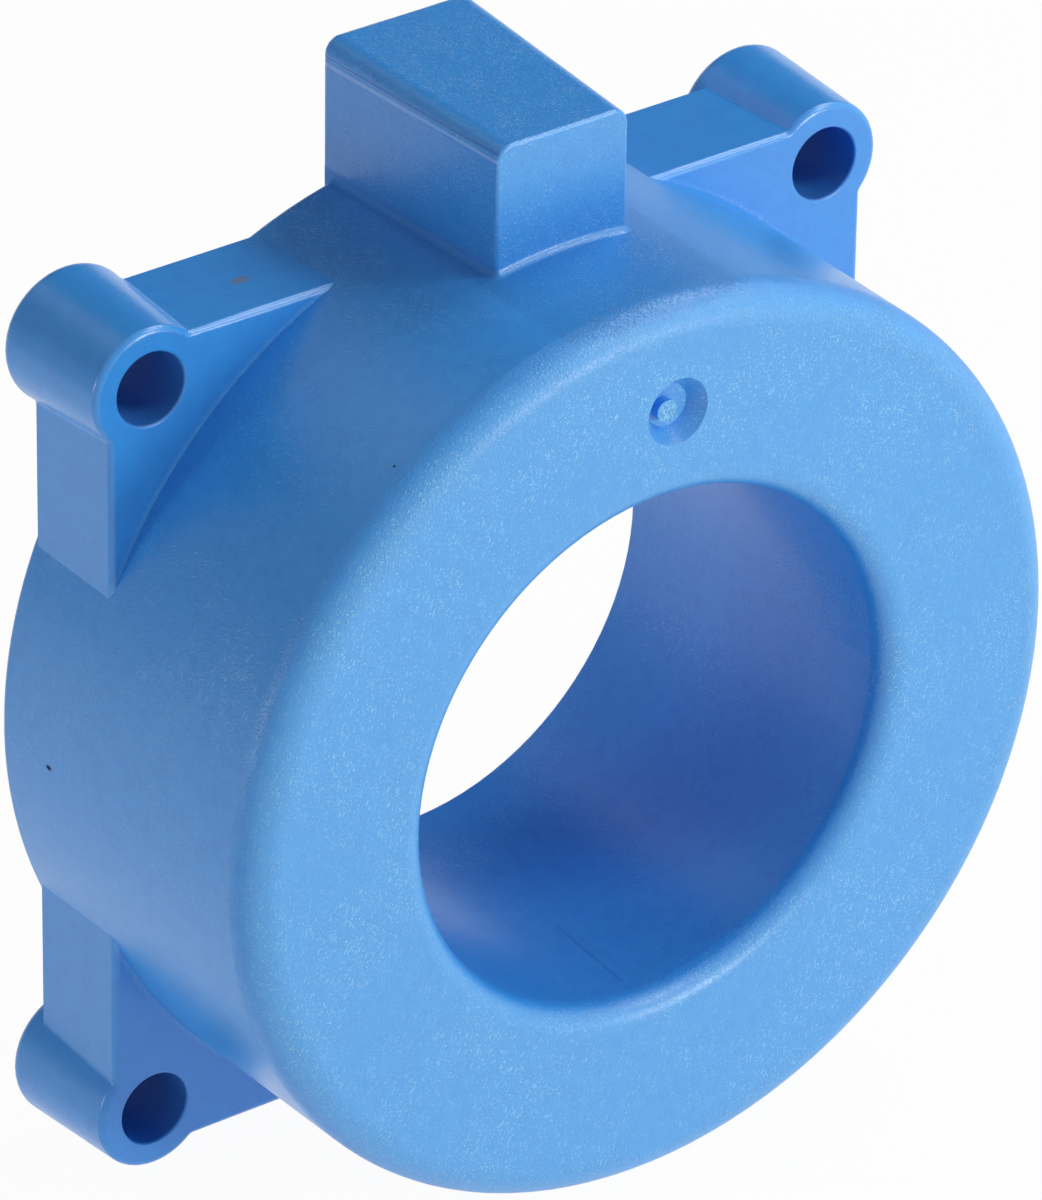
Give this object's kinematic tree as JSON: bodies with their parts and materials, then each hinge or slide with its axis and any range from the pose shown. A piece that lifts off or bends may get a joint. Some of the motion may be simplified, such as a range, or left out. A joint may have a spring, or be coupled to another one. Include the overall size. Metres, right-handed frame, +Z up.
{
  "type": "hall effect current sensor",
  "caption": "Ring-shaped Hall effect current sensor: a blue moulded case round a through-hole for the conductor, with screw ears, a small hood and rear solder pins.",
  "frame": {"origin": "on the axis of the through-hole, in the mounting plane that the feet of the screw bosses share", "axes": "+Y along the through-hole's axis towards the panel, the way the pins leave; -Y the way the closed face looks; +Z up towards the hood"},
  "size_m": [0.0388, 0.0205, 0.0443],
  "materials": {
    "housing_plastic": "satin blue glass-filled moulding with fine pale flecks",
    "potting_resin": "dark cast resin, soft gloss",
    "core_steel": "wound strip edges",
    "board_laminate": "green lacquered laminate",
    "chip_plastic": "matt black moulding",
    "chip_leads": "tinned copper alloy",
    "tinned_pin": "tinned, satin",
    "strip_plastic": "matt black moulding",
    "solder": "solder, soft gloss",
    "capacitor_ceramic": "tan ceramic with tinned ends",
    "resistor_ceramic": "black coated ceramic with tinned ends"
  },
  "bodies": {
    "root": {"housing": "housing_plastic", "potting_resin": "potting_resin", "magnetic_core": "core_steel", "circuit_board": "board_laminate", "sensor_chip": "chip_plastic", "sensor_chip_leads": "chip_leads", "supply_pin": "tinned_pin", "ground_pin": "tinned_pin", "output_pin": "tinned_pin", "reference_pin": "tinned_pin", "pin_strip": "strip_plastic", "pin_solder_joints": "solder", "supply_capacitor": "capacitor_ceramic", "output_capacitor": "capacitor_ceramic", "reference_capacitor": "capacitor_ceramic", "output_resistor": "resistor_ceramic", "reference_resistor": "resistor_ceramic"}
  },
  "joints": []
}
